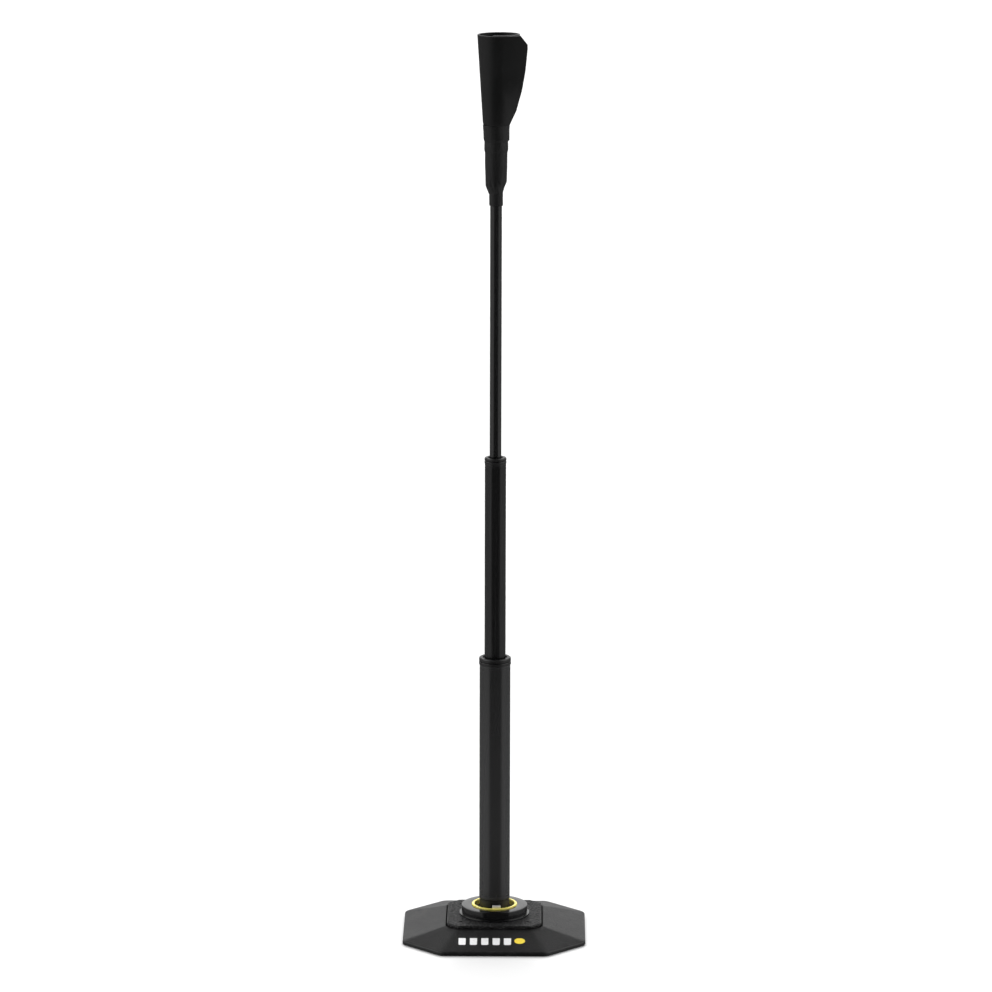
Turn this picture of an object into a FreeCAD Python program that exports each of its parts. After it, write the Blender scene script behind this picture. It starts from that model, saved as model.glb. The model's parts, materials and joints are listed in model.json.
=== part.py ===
import FreeCAD, Part
import math
import os

import Sketcher

# A batting tee: a weighted octagonal base with a round socket, a three-stage stem that
# slides and turns, and a ball rest rolled from a rubber sheet.
# Millimetres, +Z up, the origin on the ground under the middle of the base, -Y is the front.

doc = FreeCAD.newDocument("batting_tee")
sheet = doc.addObject("Spreadsheet::Sheet", "Sizes")
sub_parts = []


class Size:
    """A length that knows its number and the sheet formula it comes from."""

    def __init__(self, value, formula):
        self.value = float(value)
        self.formula = formula

    def joined(self, sign, other, value, swapped=False):
        other_formula = other.formula if isinstance(other, Size) else repr(float(other))
        pair = (other_formula, self.formula) if swapped else (self.formula, other_formula)
        return Size(value, "(%s %s %s)" % (pair[0], sign, pair[1]))

    def __add__(self, other):
        return self.joined("+", other, self.value + number(other))

    def __radd__(self, other):
        return self.joined("+", other, number(other) + self.value, True)

    def __sub__(self, other):
        return self.joined("-", other, self.value - number(other))

    def __rsub__(self, other):
        return self.joined("-", other, number(other) - self.value, True)

    def __mul__(self, other):
        return self.joined("*", other, self.value * number(other))

    def __rmul__(self, other):
        return self.joined("*", other, number(other) * self.value, True)

    def __neg__(self):
        return self * -1.0


def number(size):
    return size.value if isinstance(size, Size) else float(size)


def size(alias, value):
    """Writes one driving dimension into the sheet and returns it."""
    row = size.next_row
    size.next_row += 1
    sheet.set("A%d" % row, alias.replace("_", " "))
    sheet.set("B%d" % row, repr(float(value)))
    sheet.setAlias("B%d" % row, alias)
    return Size(value, "Sizes." + alias)


size.next_row = 1


def bind(thing, name, length):
    """Binds a property to a size's formula, or to a plain number."""
    thing.setExpression(name, length.formula if isinstance(length, Size) else repr(float(length)))


# ---------------------------------------------------------------- driving dimensions

# Base
base_half = size("base_half", 110.0)
base_corner_leg = size("base_corner_leg", 46.5)
rim_height = size("rim_height", 5.0)
plateau_height = size("plateau_height", 18.0)
rim_wall = size("rim_wall", 4.5)
pad_thickness = size("pad_thickness", 3.0)
weight_shoulder = size("weight_shoulder", 14.2)
weight_top = size("weight_top", 16.5)
weight_inset = size("weight_inset", 1.0)

# Socket plate
plate_half = size("plate_half", 57.0)
plate_corner_leg = size("plate_corner_leg", 13.5)
plate_thickness = size("plate_thickness", 5.3)
plate_gap = size("plate_gap", 1.4)
plate_land = size("plate_land", 1.0)

# Screws
plate_screw_across = size("plate_screw_across", 40.5)
plate_screw_along = size("plate_screw_along", 38.0)
pad_screw_circle = size("pad_screw_circle", 78.0)
housing_screw_circle = size("housing_screw_circle", 33.0)
screw_clearance = size("screw_clearance", 0.1)
plate_sink = size("plate_sink", 3.4)
plate_sink_depth = size("plate_sink_depth", 3.2)
plate_head = size("plate_head", 3.0)
plate_head_height = size("plate_head_height", 2.0)
plate_shank = size("plate_shank", 1.9)
plate_screw_end = size("plate_screw_end", 7.0)
pad_head = size("pad_head", 5.0)
pad_shank = size("pad_shank", 2.2)
pad_head_low = size("pad_head_low", 0.5)
pad_head_top = size("pad_head_top", 2.0)
pad_screw_end = size("pad_screw_end", 8.0)
housing_head = size("housing_head", 3.4)
housing_shank = size("housing_shank", 1.7)
housing_head_top = size("housing_head_top", 18.6)
housing_screw_end = size("housing_screw_end", 30.0)
drive_depth = size("drive_depth", 1.2)
pad_drive_depth = size("pad_drive_depth", 1.0)

# Socket housing
foot_ring_radius = size("foot_ring_radius", 44.0)
foot_ring_height = size("foot_ring_height", 1.6)
housing_radius = size("housing_radius", 39.9)
housing_top = size("housing_top", 33.0)
well_radius = size("well_radius", 21.0)
well_bottom = size("well_bottom", 4.0)
well_floor = size("well_floor", 6.0)
seat_height = size("seat_height", 20.0)
moat_floor = size("moat_floor", 27.0)
ring_seat = size("ring_seat", 28.0)
ring_radius = size("ring_radius", 27.5)
ring_inner = size("ring_inner", 24.0)
ring_top = size("ring_top", 34.6)
ring_round = size("ring_round", 1.6)
foot_ring_round = size("foot_ring_round", 0.4)
housing_round = size("housing_round", 0.8)

# Stem foot and its key
collar_radius = size("collar_radius", 18.0)
nose_radius = size("nose_radius", 15.5)
running_gap = size("running_gap", 0.06)
press_gap = size("press_gap", 0.05)
collar_top = size("collar_top", 41.5)
tube_seam = size("tube_seam", 0.8)
spigot_top = size("spigot_top", 62.0)
key_width = size("key_width", 10.4)
key_offset = size("key_offset", 2.6)
key_top = size("key_top", 36.0)
key_thickness = size("key_thickness", 1.8)
keyway_width = size("keyway_width", 13.0)
keyway_floor = size("keyway_floor", 15.6)
keyway_top = size("keyway_top", 38.4)
groove_foot = size("groove_foot", 10.6)
groove_height = size("groove_height", 2.8)
groove_radius = size("groove_radius", 13.1)
grip_ring_slack = size("grip_ring_slack", 0.2)
nose_foot = size("nose_foot", 6.5)
nose_edge = size("nose_edge", 1.0)
foot_hollow = size("foot_hollow", 11.0)
foot_floor = size("foot_floor", 10.0)
rivet_height = size("rivet_height", 52.0)
rivet_radius = size("rivet_radius", 1.6)
rivet_head = size("rivet_head", 3.4)
rivet_crown = size("rivet_crown", 2.04)
rivet_head_height = size("rivet_head_height", 1.0)
rivet_tail = size("rivet_tail", 1.0)

# Lower stage
lower_radius = size("lower_radius", 18.5)
lower_bore = size("lower_bore", 17.0)
lower_top = size("lower_top", 332.8)
lower_cap_top = size("lower_cap_top", 341.6)
lower_cap_radius = size("lower_cap_radius", 19.2)

# Middle stage
mid_radius = size("mid_radius", 12.7)
mid_bore = size("mid_bore", 11.5)
mid_foot = size("mid_foot", 297.6)
mid_top = size("mid_top", 579.1)
upper_cap_top = size("upper_cap_top", 586.3)
upper_cap_radius = size("upper_cap_radius", 13.1)

# Rod
rod_radius = size("rod_radius", 7.0)
rod_bore = size("rod_bore", 5.6)
rod_foot = size("rod_foot", 543.6)
rod_top = size("rod_top", 958.0)

# Sliding parts shared by both stages
skirt_depth = size("skirt_depth", 14.8)
upper_skirt_depth = size("upper_skirt_depth", 17.1)
clip_height = size("clip_height", 1.2)
clip_bite = size("clip_bite", 0.5)
clip_stand = size("clip_stand", 2.6)
stop_gap = size("stop_gap", 0.4)
glide_slit = size("glide_slit", 10.0)
clip_slit = size("clip_slit", 30.0)
glide_edge = size("glide_edge", 0.6)
plug_depth = size("plug_depth", 8.0)
bush_edge = size("bush_edge", 0.5)
band_groove = size("band_groove", 0.6)
cap_clearance = size("cap_clearance", 0.2)

# Ball rest
core_foot = size("core_foot", 904.0)
core_shoulder = size("core_shoulder", 919.0)
core_radius = size("core_radius", 12.3)
core_top = size("core_top", 990.0)
core_lip = size("core_lip", 0.6)
core_step = size("core_step", 1.0)
core_slack = size("core_slack", 0.2)
core_top_edge = size("core_top_edge", 1.5)
clamp_foot = size("clamp_foot", 955.0)
clamp_height = size("clamp_height", 8.5)
clamp_radius = size("clamp_radius", 13.2)
clamp_round = size("clamp_round", 0.4)
cone_foot = size("cone_foot", 967.0)
cone_foot_radius = size("cone_foot_radius", 14.3)
cone_waist = size("cone_waist", 985.0)
cone_waist_radius = size("cone_waist_radius", 15.0)
cone_swell_height = size("cone_swell_height", 4.0)
cone_swell = size("cone_swell", 1.4)
mouth_height = size("mouth_height", 1093.7)
mouth_radius = size("mouth_radius", 26.5)
mouth_tilt = size("mouth_tilt", 1.8)
sheet_thickness = size("sheet_thickness", 2.6)
cone_lean = size("cone_lean", 1.11)
sleeve_foot = size("sleeve_foot", 889.5)
sleeve_top = size("sleeve_top", 985.5)
sleeve_wall = size("sleeve_wall", 0.9)
sleeve_gap = size("sleeve_gap", 0.1)
sleeve_flare_gap = size("sleeve_flare_gap", 0.5)
sleeve_spread = size("sleeve_spread", 0.7)
sleeve_thinned = size("sleeve_thinned", 0.63)
clamp_fall = size("clamp_fall", 2.5)

# The loose outer turn of the rolled sheet: the height, x and y of points on its free edge.
fin_stations = [
    (986.5, 17.1, 0.0), (1002.0, 25.1, -2.0), (1026.0, 31.3, -9.0),
    (1050.0, 35.5, -13.0), (1080.0, 38.3, -15.5), (1091.5, 30.0, -18.5),
]
fin_start_angle = math.radians(-100.0)
fin_root_share = 0.6

# Where a bush's joint lines fall, as shares of its band's height and of its wall.
cap_split_share = 0.42
skirt_seat_share = 0.14
grip_width_share = 0.42
cap_sleeve_share = 0.16
grip_rise_share = 0.35
mouth_share = 0.3

plate_top = weight_top + plate_thickness
plate_head_low = plate_top - plate_sink_depth
plate_head_top = plate_head_low + plate_head_height
housing_screw_side = housing_screw_circle * math.sqrt(0.5)

# ---------------------------------------------------------------- helpers


def new_body(label):
    body = doc.addObject("PartDesign::Body", label)
    body.Label = label
    sub_parts.append(body)
    return body


def origin_plane(body, role):
    for feature in body.Origin.OriginFeatures:
        if feature.Role == role:
            return feature
    raise ValueError("no origin plane " + role)


def new_sketch(body, name, role, lift=None):
    """A sketch on one of the body's own planes, raised along its normal by lift."""
    sketch = body.newObject("Sketcher::SketchObject", body.Label + "_" + name)
    sketch.AttachmentSupport = [(origin_plane(body, role), "")]
    sketch.MapMode = "FlatFace"
    if lift is not None:
        bind(sketch, "AttachmentOffset.Base.z", lift)
    return sketch


def pin_point(sketch, geometry, end, x, y):
    """Fixes one end of a line, or a circle's centre, at two sizes from the sketch's origin."""
    for kind, axis, length in (("DistanceX", -2, x), ("DistanceY", -1, y)):
        if number(length) == 0.0:
            sketch.addConstraint(Sketcher.Constraint("PointOnObject", geometry, end, axis))
            continue
        constraint = Sketcher.Constraint(kind, -1, 1, geometry, end, number(length))
        index = sketch.addConstraint(constraint)
        if isinstance(length, Size):
            sketch.setExpression("Constraints[%d]" % index, length.formula)


def draw_outline(sketch, points):
    """Draws a closed outline of straight lines through the points."""
    corners = [FreeCAD.Vector(number(x), number(y), 0) for x, y in points]
    count = len(corners)
    for index in range(count):
        line = Part.LineSegment(corners[index], corners[(index + 1) % count])
        sketch.addGeometry(line, False)
    for index in range(count):
        following = (index + 1) % count
        sketch.addConstraint(Sketcher.Constraint("Coincident", index, 2, following, 1))
    for index, (x, y) in enumerate(points):
        pin_point(sketch, index, 1, x, y)


def draw_circles(sketch, places, radius):
    for index, (x, y) in enumerate(places):
        centre = FreeCAD.Vector(number(x), number(y), 0)
        sketch.addGeometry(Part.Circle(centre, FreeCAD.Vector(0, 0, 1), number(radius)), False)
        pin_point(sketch, index, 3, x, y)
        fixed = sketch.addConstraint(Sketcher.Constraint("Radius", index, number(radius)))
        if isinstance(radius, Size):
            sketch.setExpression("Constraints[%d]" % fixed, radius.formula)


def octagon(half, leg):
    """Corners of a square with cut corners, counter-clockwise from the front right."""
    inner = half - leg
    return [
        (inner, -half), (half, -inner), (half, inner), (inner, half),
        (-inner, half), (-half, inner), (-half, -inner), (-inner, -half),
    ]


def widened(half, leg, gap):
    """The half width and corner leg of an octagon moved outwards by gap on every side."""
    return half + gap, leg + gap * (2.0 - math.sqrt(2.0))


def pad(body, sketch, length):
    feature = body.newObject("PartDesign::Pad", sketch.Name + "_pad")
    feature.Profile = sketch
    bind(feature, "Length", length)
    return feature


def pocket(body, sketch, depth=None):
    """Cuts the sketch downwards by depth, or right through."""
    doc.recompute()
    before = body.Shape.Volume
    feature = body.newObject("PartDesign::Pocket", sketch.Name + "_pocket")
    feature.Profile = sketch
    if depth is None:
        feature.Type = "ThroughAll"
    else:
        bind(feature, "Length", depth)
    doc.recompute()
    if feature.Shape.Volume >= before:
        raise ValueError("nothing was cut from " + body.Label)
    return feature


def loft(body, kind, lower, upper):
    feature = body.newObject("PartDesign::" + kind, lower.Name + "_loft")
    feature.Profile = lower
    feature.Sections = [upper]
    feature.Ruled = True
    return feature


def octagon_sketch(body, name, lift, half, leg):
    sketch = new_sketch(body, name, "XY_Plane", lift)
    draw_outline(sketch, octagon(half, leg))
    return sketch


def turned(label, outline, opening_angle=None):
    """A piece turned about the Z axis from its half outline of (radius, height) points."""
    body = new_body(label)
    sketch = new_sketch(body, "outline", "XZ_Plane")
    draw_outline(sketch, outline)
    feature = body.newObject("PartDesign::Revolution", label + "_turned")
    feature.Profile = sketch
    feature.ReferenceAxis = (sketch, ["V_Axis"])
    if opening_angle is None:
        feature.Angle = 360.0
    else:
        bind(feature, "Angle", 360.0 - opening_angle)
    doc.recompute()
    return body


def circle_edges(shape, radius, height):
    """Names of the round edges with this radius at this height."""
    names = []
    for index, edge in enumerate(shape.Edges, 1):
        curve = edge.Curve
        if not isinstance(curve, Part.Circle):
            continue
        if abs(curve.Radius - number(radius)) < 0.01 and abs(curve.Center.z - number(height)) < 0.01:
            names.append("Edge%d" % index)
    return names


def round_edges(body, places, radius):
    """Rounds the body's circular edges at the (radius, height) places."""
    doc.recompute()
    base = body.Tip
    names = []
    for edge_radius, edge_height in places:
        names += circle_edges(base.Shape, edge_radius, edge_height)
    fillet = body.newObject("PartDesign::Fillet", body.Label + "_round")
    fillet.Base = (base, names)
    bind(fillet, "Radius", radius)
    doc.recompute()


def place(thing, x, y, z):
    bind(thing, "Placement.Base.x", x)
    bind(thing, "Placement.Base.y", y)
    bind(thing, "Placement.Base.z", z)


def cylinder(name, radius, height, x, y, z):
    thing = doc.addObject("Part::Cylinder", name)
    bind(thing, "Radius", radius)
    bind(thing, "Height", height)
    place(thing, x, y, z)
    return thing


def screws(label, places, head, shank, socket):
    """Identical screws as one group of solids.

    head and shank are (radius, low, high); socket is (radius, low, high) of the hexagon drive.
    """
    made = []
    for index, (x, y) in enumerate(places):
        name = "%s_%d" % (label, index)
        parts = [
            cylinder(name + "_head", head[0], head[2] - head[1], x, y, head[1]),
            cylinder(name + "_shank", shank[0], shank[2] - shank[1], x, y, shank[1]),
        ]
        solid = doc.addObject("Part::MultiFuse", name + "_solid")
        solid.Shapes = parts
        drive = doc.addObject("Part::Prism", name + "_drive")
        drive.Polygon = 6
        bind(drive, "Circumradius", socket[0])
        bind(drive, "Height", socket[2] - socket[1])
        place(drive, x, y, socket[1])
        screw = doc.addObject("Part::Cut", name)
        screw.Base = solid
        screw.Tool = drive
        made.append(screw)
    group = doc.addObject("Part::Compound", label)
    group.Label = label
    group.Links = made
    sub_parts.append(group)


def corners(across, along):
    return [(across, -along), (across, along), (-across, along), (-across, -along)]


def cross(radius):
    return [(radius, 0), (0, radius), (-radius, 0), (0, -radius)]


# ---------------------------------------------------------------- base

opening_half, opening_leg = widened(plate_half, plate_corner_leg, plate_gap)
facet_half, facet_leg = widened(opening_half, opening_leg, plate_land)
pad_half, pad_leg = widened(base_half, base_corner_leg, -rim_wall)
weight_half, weight_leg = widened(pad_half, pad_leg, -weight_inset)
shoulder_half, shoulder_leg = widened(opening_half, opening_leg, weight_inset)
boss_half = opening_half - press_gap
boss_leg = opening_leg


def weight_loft(body, kind):
    """The sloping mass inside the cover, used for the weight and for the hollow that holds it."""
    lower = octagon_sketch(body, "low", pad_thickness, weight_half, weight_leg)
    upper = octagon_sketch(body, "high", weight_shoulder, shoulder_half, shoulder_leg)
    loft(body, kind, lower, upper)


def build_base_cover():
    body = new_body("base_cover")
    rim = octagon_sketch(body, "rim", None, base_half, base_corner_leg)
    pad(body, rim, rim_height)
    lower = octagon_sketch(body, "facets_low", rim_height, base_half, base_corner_leg)
    upper = octagon_sketch(body, "facets_high", plateau_height, facet_half, facet_leg)
    loft(body, "AdditiveLoft", lower, upper)
    weight_loft(body, "SubtractiveLoft")
    underside = octagon_sketch(body, "underside", pad_thickness, pad_half, pad_leg)
    pocket(body, underside, pad_thickness)
    opening = octagon_sketch(body, "opening", plateau_height, opening_half, opening_leg)
    pocket(body, opening)


def build_base_weight():
    body = new_body("base_weight")
    weight_loft(body, "AdditiveLoft")
    boss = octagon_sketch(body, "boss", weight_shoulder, boss_half, boss_leg)
    pad(body, boss, weight_top - weight_shoulder)
    well = new_sketch(body, "well", "XY_Plane", weight_top)
    draw_circles(well, [(0, 0)], well_radius + screw_clearance)
    pocket(body, well)
    plate_holes = new_sketch(body, "plate_screw_holes", "XY_Plane", weight_top)
    draw_circles(plate_holes, corners(plate_screw_across, plate_screw_along),
                 plate_shank + screw_clearance)
    pocket(body, plate_holes, weight_top - plate_screw_end + screw_clearance)
    pad_holes = new_sketch(body, "pad_screw_holes", "XY_Plane", pad_screw_end + screw_clearance)
    draw_circles(pad_holes, cross(pad_screw_circle), pad_shank + screw_clearance)
    pocket(body, pad_holes)


def build_base_pad():
    body = new_body("base_pad")
    flat = octagon_sketch(body, "flat", None, pad_half, pad_leg)
    pad(body, flat, pad_thickness)
    heads = new_sketch(body, "head_holes", "XY_Plane", pad_head_top)
    draw_circles(heads, cross(pad_screw_circle), pad_head + screw_clearance)
    pocket(body, heads)
    shanks = new_sketch(body, "shank_holes", "XY_Plane", pad_thickness)
    draw_circles(shanks, cross(pad_screw_circle), pad_shank + screw_clearance)
    pocket(body, shanks)


def build_socket_plate():
    body = new_body("socket_plate")
    flat = octagon_sketch(body, "flat", weight_top, plate_half, plate_corner_leg)
    pad(body, flat, plate_thickness)
    well = new_sketch(body, "well", "XY_Plane", plate_top)
    draw_circles(well, [(0, 0)], well_radius + screw_clearance)
    pocket(body, well)
    sinks = new_sketch(body, "screw_sinks", "XY_Plane", plate_top)
    draw_circles(sinks, corners(plate_screw_across, plate_screw_along), plate_sink)
    pocket(body, sinks, plate_top - plate_head_low)
    shanks = new_sketch(body, "shank_holes", "XY_Plane", plate_top)
    draw_circles(shanks, corners(plate_screw_across, plate_screw_along),
                 plate_shank + screw_clearance)
    pocket(body, shanks)
    under_sinks = new_sketch(body, "under_sinks", "XY_Plane", housing_head_top)
    draw_circles(under_sinks, corners(housing_screw_side, housing_screw_side),
                 housing_head + screw_clearance)
    pocket(body, under_sinks)
    under_shanks = new_sketch(body, "under_shanks", "XY_Plane", plate_top)
    draw_circles(under_shanks, corners(housing_screw_side, housing_screw_side),
                 housing_shank + screw_clearance)
    pocket(body, under_shanks)


def build_socket_housing():
    guide = collar_radius + running_gap
    nose_bore = nose_radius + running_gap
    body = turned("socket_housing", [
        (0, well_bottom), (well_radius, well_bottom), (well_radius, plate_top),
        (foot_ring_radius, plate_top), (foot_ring_radius, plate_top + foot_ring_height),
        (housing_radius, plate_top + foot_ring_height), (housing_radius, housing_top),
        (ring_radius, housing_top), (ring_radius, ring_seat), (ring_inner, ring_seat),
        (ring_inner, moat_floor), (guide, moat_floor), (guide, seat_height),
        (nose_bore, seat_height), (nose_bore, well_floor), (0, well_floor),
    ])
    round_edges(body, [(foot_ring_radius, plate_top + foot_ring_height)], foot_ring_round)
    round_edges(body, [(housing_radius, housing_top)], housing_round)
    holes = new_sketch(body, "screw_holes", "XY_Plane", housing_screw_end + screw_clearance)
    draw_circles(holes, corners(housing_screw_side, housing_screw_side),
                 housing_shank + screw_clearance)
    pocket(body, holes, housing_screw_end + screw_clearance - plate_top)


def build_socket_ring():
    body = turned("socket_ring", [
        (ring_inner, ring_seat), (ring_radius, ring_seat),
        (ring_radius, ring_top), (ring_inner, ring_top),
    ])
    round_edges(body, [(ring_radius, ring_top), (ring_inner, ring_top)], ring_round)


def build_index_key():
    """A bent strip: it stands in the moat and its head reaches into the collar's notch."""
    body = new_body("index_key")
    right = key_offset + key_width * 0.5
    left = key_offset - key_width * 0.5
    front = -(ring_inner - key_thickness)
    upright = new_sketch(body, "upright", "XY_Plane", moat_floor)
    draw_outline(upright, [
        (left, front), (right, front), (right, front + key_thickness), (left, front + key_thickness),
    ])
    pad(body, upright, key_top - moat_floor)
    back = -(keyway_floor + stop_gap)
    head = new_sketch(body, "head", "XY_Plane", key_top - key_thickness)
    draw_outline(head, [(left, front), (right, front), (right, back), (left, back)])
    pad(body, head, key_thickness)


build_base_cover()
build_base_weight()
build_base_pad()
screws("pad_screws", cross(pad_screw_circle),
       (pad_head, pad_head_low, pad_head_top), (pad_shank, pad_head_top, pad_screw_end),
       (pad_shank, pad_head_low, pad_head_low + pad_drive_depth))
build_socket_plate()
screws("plate_screws", corners(plate_screw_across, plate_screw_along),
       (plate_head, plate_head_low, plate_head_top), (plate_shank, plate_screw_end, plate_head_low),
       (plate_shank, plate_head_top - drive_depth, plate_head_top))
build_socket_housing()
screws("housing_screws", corners(housing_screw_side, housing_screw_side),
       (housing_head, weight_top, housing_head_top), (housing_shank, housing_head_top, housing_screw_end),
       (housing_shank, weight_top, weight_top + drive_depth))
build_socket_ring()
build_index_key()

# ---------------------------------------------------------------- lower stem


def rivet_hole(body):
    """A hole for the rivet through the back wall only."""
    sketch = new_sketch(body, "rivet_hole", "XZ_Plane")
    draw_circles(sketch, [(0, rivet_height)], rivet_radius + screw_clearance)
    pocket(body, sketch)


def build_stem_foot():
    spigot = lower_bore - press_gap
    seat = seat_height + press_gap
    body = turned("stem_foot", [
        (0, nose_foot), (nose_radius - nose_edge, nose_foot), (nose_radius, nose_foot + nose_edge),
        (nose_radius, groove_foot), (groove_radius, groove_foot),
        (groove_radius, groove_foot + groove_height), (nose_radius, groove_foot + groove_height),
        (nose_radius, seat), (collar_radius, seat), (collar_radius, collar_top),
        (spigot, collar_top), (spigot, spigot_top), (foot_hollow, spigot_top),
        (foot_hollow, foot_floor), (0, foot_floor),
    ])
    keyway = new_sketch(body, "keyway", "XY_Plane", keyway_top)
    left = key_offset - keyway_width * 0.5
    right = key_offset + keyway_width * 0.5
    front = -lower_radius
    draw_outline(keyway, [(left, front), (right, front), (right, -keyway_floor), (left, -keyway_floor)])
    pocket(body, keyway)
    rivet_hole(body)


def build_foot_grip_ring():
    """A round-section ring that fills the nose's groove."""
    ring = doc.addObject("Part::Torus", "foot_grip_ring")
    ring.Label = "foot_grip_ring"
    section = groove_height * 0.5 - grip_ring_slack
    bind(ring, "Radius2", section)
    bind(ring, "Radius1", nose_radius - section)
    place(ring, 0, 0, groove_foot + groove_height * 0.5)
    sub_parts.append(ring)


def build_foot_rivet():
    inner_end = foot_hollow - rivet_tail
    shank = cylinder("foot_rivet_shank", rivet_radius, lower_radius - inner_end, 0, inner_end, rivet_height)
    head = doc.addObject("Part::Cone", "foot_rivet_head")
    bind(head, "Radius1", rivet_head)
    bind(head, "Radius2", rivet_crown)
    bind(head, "Height", rivet_head_height)
    place(head, 0, lower_radius, rivet_height)
    for thing in (shank, head):
        thing.Placement.Rotation = FreeCAD.Rotation(FreeCAD.Vector(1, 0, 0), -90)
    rivet = doc.addObject("Part::MultiFuse", "foot_rivet")
    rivet.Label = "foot_rivet"
    rivet.Shapes = [shank, head]
    sub_parts.append(rivet)


def tube(label, radius, bore, low, high, clip_groove=None):
    """A stem tube, with a shallow groove for its snap ring where it has one."""
    outline = [(bore, low), (radius, low)]
    if clip_groove is not None:
        floor = radius - clip_bite
        outline += [
            (radius, clip_groove), (floor, clip_groove),
            (floor, clip_groove + clip_height), (radius, clip_groove + clip_height),
        ]
    outline += [(radius, high), (bore, high)]
    return turned(label, outline)


def build_bush(stage, cap_radius, tube_bore, rod_size, skirt, foot, top):
    """The bush in a tube's top: a band with a skirt, a cap above it, a rubber ring between."""
    bore = rod_size + running_gap
    wall = cap_radius - bore
    split = foot + (top - foot) * cap_split_share
    seat = foot + (top - foot) * skirt_seat_share
    grip_outer = bore + wall * grip_width_share
    sleeve_outer = grip_outer + wall * cap_sleeve_share
    thread = tube_bore - press_gap
    edge = bush_edge
    turned(stage + "_bush", [
        (bore, foot - skirt), (thread, foot - skirt), (thread, foot), (cap_radius - edge, foot),
        (cap_radius, foot + edge), (cap_radius, split - edge), (cap_radius - edge, split),
        (sleeve_outer, split), (sleeve_outer, seat), (bore, seat),
    ])
    shoulder = split + band_groove
    grip_top = shoulder + (top - shoulder) * grip_rise_share
    mouth = bore + wall * mouth_share
    turned(stage + "_bush_cap", [
        (grip_outer, seat), (sleeve_outer, seat), (sleeve_outer, shoulder),
        (cap_radius - edge, shoulder), (cap_radius, shoulder + edge), (cap_radius, top - edge * 2.0),
        (cap_radius - edge * 2.0, top), (mouth + edge, top), (mouth, top - edge),
        (mouth, top - edge * 3.0), (bore + cap_clearance, top - edge * 3.0),
        (bore + cap_clearance, grip_top),
        (grip_outer, grip_top),
    ])
    turned(stage + "_grip_ring", [
        (bore, seat), (grip_outer, seat), (grip_outer, grip_top), (bore, grip_top),
    ])


def build_slider(stage, tube_size, tube_wall_bore, outer_bore, tube_foot, skirt_foot):
    """The split glide ring low on a tube, the snap ring above it and the plug below it.

    Returns the snap ring's height, where the tube needs its groove.
    """
    clip_low = skirt_foot - clip_height - stop_gap * 2.0
    glide_low = tube_foot + stop_gap
    glide_outer = outer_bore - running_gap
    edge = glide_edge
    turned(stage + "_glide", [
        (tube_size + running_gap, glide_low), (glide_outer - edge, glide_low),
        (glide_outer, glide_low + edge), (glide_outer, clip_low - stop_gap - edge),
        (glide_outer - edge, clip_low - stop_gap), (tube_size + running_gap, clip_low - stop_gap),
    ], glide_slit)
    turned(stage + "_clip", [
        (tube_size - clip_bite, clip_low), (tube_size + clip_stand, clip_low),
        (tube_size + clip_stand, clip_low + clip_height), (tube_size - clip_bite, clip_low + clip_height),
    ], clip_slit)
    spigot = tube_wall_bore - press_gap
    plug_low = tube_foot - clip_stand
    flange = tube_size + clip_stand - stop_gap
    turned(stage + "_end_plug", [
        (0, plug_low), (flange - edge, plug_low), (flange, plug_low + edge), (flange, tube_foot),
        (spigot, tube_foot), (spigot, tube_foot + plug_depth), (0, tube_foot + plug_depth),
    ])
    return clip_low


build_stem_foot()
build_foot_grip_ring()
build_foot_rivet()
lower_tube = tube("lower_tube", lower_radius, lower_bore, collar_top + tube_seam, lower_top)
rivet_hole(lower_tube)
build_bush("lower", lower_cap_radius, lower_bore, mid_radius, skirt_depth, lower_top, lower_cap_top)

# ---------------------------------------------------------------- middle stem

mid_clip = build_slider("mid", mid_radius, mid_bore, lower_bore, mid_foot, lower_top - skirt_depth)
tube("mid_tube", mid_radius, mid_bore, mid_foot, mid_top, mid_clip)
build_bush("upper", upper_cap_radius, mid_bore, rod_radius, upper_skirt_depth, mid_top, upper_cap_top)

# ---------------------------------------------------------------- upper stem

rod_clip = build_slider("rod", rod_radius, rod_bore, mid_bore, rod_foot, mid_top - upper_skirt_depth)
tube("rod", rod_radius, rod_bore, rod_foot, rod_top, rod_clip)

# ---------------------------------------------------------------- ball rest


def cone_radius(height):
    """Outer radius of the rolled cone at a height above its waist."""
    share = (height - cone_waist.value) / (mouth_height.value - cone_waist.value)
    return cone_waist_radius.value + share * (mouth_radius.value - cone_waist_radius.value)


def build_cup_core():
    """The plug pushed on the rod: it tapers down to the rod and carries the cone above."""
    socket = rod_radius + press_gap
    cone_seat = cone_foot_radius - sheet_thickness - core_slack
    step = cone_foot - core_step
    rod_end = rod_top + core_step
    turned("cup_core", [
        (socket, core_foot), (socket + core_lip, core_foot), (core_radius, core_shoulder),
        (core_radius, step), (cone_seat, step), (cone_seat + core_slack, core_top - core_top_edge),
        (cone_seat + core_slack - core_top_edge, core_top), (0, core_top), (0, rod_end), (socket, rod_end),
    ])


def build_core_clamp():
    body = turned("core_clamp", [
        (core_radius, clamp_foot), (clamp_radius, clamp_foot),
        (clamp_radius, clamp_foot + clamp_height), (core_radius, clamp_foot + clamp_height),
    ])
    round_edges(body, [(clamp_radius, clamp_foot), (clamp_radius, clamp_foot + clamp_height)], clamp_round)


def above_the_mouth():
    """The room over the mouth's plane, which falls a little towards the back."""
    reach = mouth_radius.value * 2.0
    corner = FreeCAD.Vector(-reach, -reach, mouth_height.value)
    hinge = FreeCAD.Vector(0, -mouth_radius.value, mouth_height.value)
    room = Part.makeBox(reach * 2.0, reach * 2.0, reach, corner)
    return room.rotate(hinge, FreeCAD.Vector(1, 0, 0), -mouth_tilt.value)


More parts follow.
